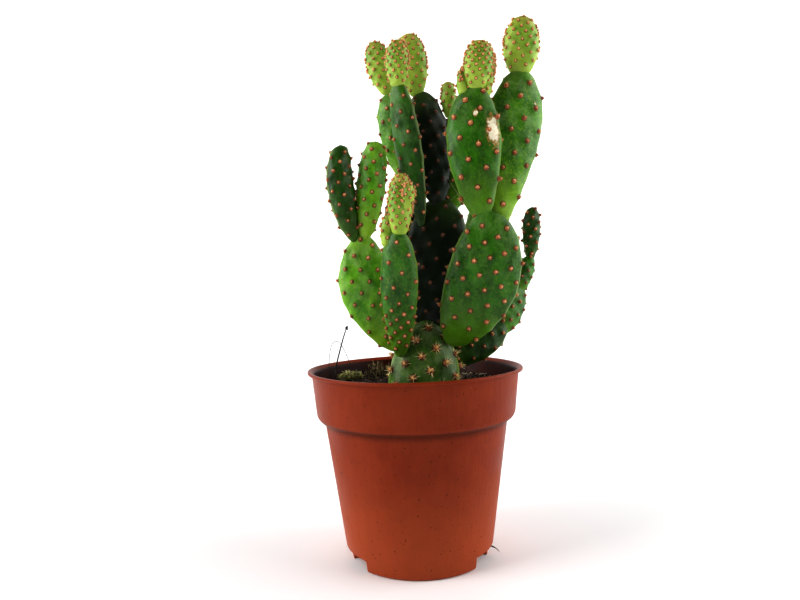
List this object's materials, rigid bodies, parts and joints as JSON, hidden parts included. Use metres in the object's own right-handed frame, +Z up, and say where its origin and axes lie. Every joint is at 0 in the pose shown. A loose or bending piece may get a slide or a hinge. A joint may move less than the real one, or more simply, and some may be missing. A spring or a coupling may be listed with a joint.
{
  "type": "potted paddle cactus",
  "caption": "Branching paddle cactus with flat, tufted oval pads, rooted in potting mix in a round tapered nursery pot with a wide collar and drain slots.",
  "frame": {"origin": "centre of the underside of the pot's floor, on the surface that the pot stands on", "axes": "+Z up along the pot's axis, -Y towards the front of the plant, +X to the viewer's right"},
  "size_m": [0.0973, 0.085, 0.2093],
  "materials": {
    "pot_plastic": "satin terracotta-brown moulded polypropylene",
    "potting_mix": "damp dark peat and fibre, stands for loose potting mix",
    "root_bark": "thin pale brown root bark",
    "old_pad_skin": "firm blue-green waxy skin, stands for old cactus skin",
    "pad_skin": "satin waxy green skin with tan tufts, stands for cactus skin",
    "young_pad_skin": "soft yellow-green skin crowded with orange-brown tufts",
    "moss": "soft dry moss, stands for a living cushion",
    "dry_straw": "dull grey-brown dead stem"
  },
  "bodies": {
    "root": {"pot": "pot_plastic", "potting_mix": "potting_mix", "roots": "root_bark", "moss_cushion": "moss", "dry_stalk": "dry_straw", "dry_thread": "dry_straw", "root_wisp": "root_bark", "stem_pad": "old_pad_skin", "centre_low_pad": "pad_skin", "front_left_pad": "pad_skin", "left_mid_pad": "pad_skin", "right_mid_pad": "pad_skin", "left_rear_pad": "pad_skin", "rear_low_pad": "pad_skin", "right_low_pad": "pad_skin", "right_low_tip_pad": "pad_skin", "rear_right_pad": "pad_skin", "left_tall_pad": "pad_skin", "centre_mid_pad": "pad_skin", "centre_right_pad": "pad_skin", "left_back_pad": "pad_skin", "left_finger_outer": "pad_skin", "left_finger_inner": "pad_skin", "right_front_pad": "pad_skin", "right_back_pad": "pad_skin", "side_low_pad": "pad_skin", "side_tip_pad": "pad_skin", "left_top_bud": "young_pad_skin", "left_tall_bud": "young_pad_skin", "centre_top_bud": "young_pad_skin", "small_rear_bud": "young_pad_skin", "right_front_bud": "young_pad_skin", "right_front_side_bud": "young_pad_skin", "right_front_rear_bud": "young_pad_skin", "right_back_bud": "young_pad_skin", "front_bud": "young_pad_skin", "front_side_bud": "young_pad_skin", "left_small_bud": "young_pad_skin"}
  },
  "joints": []
}
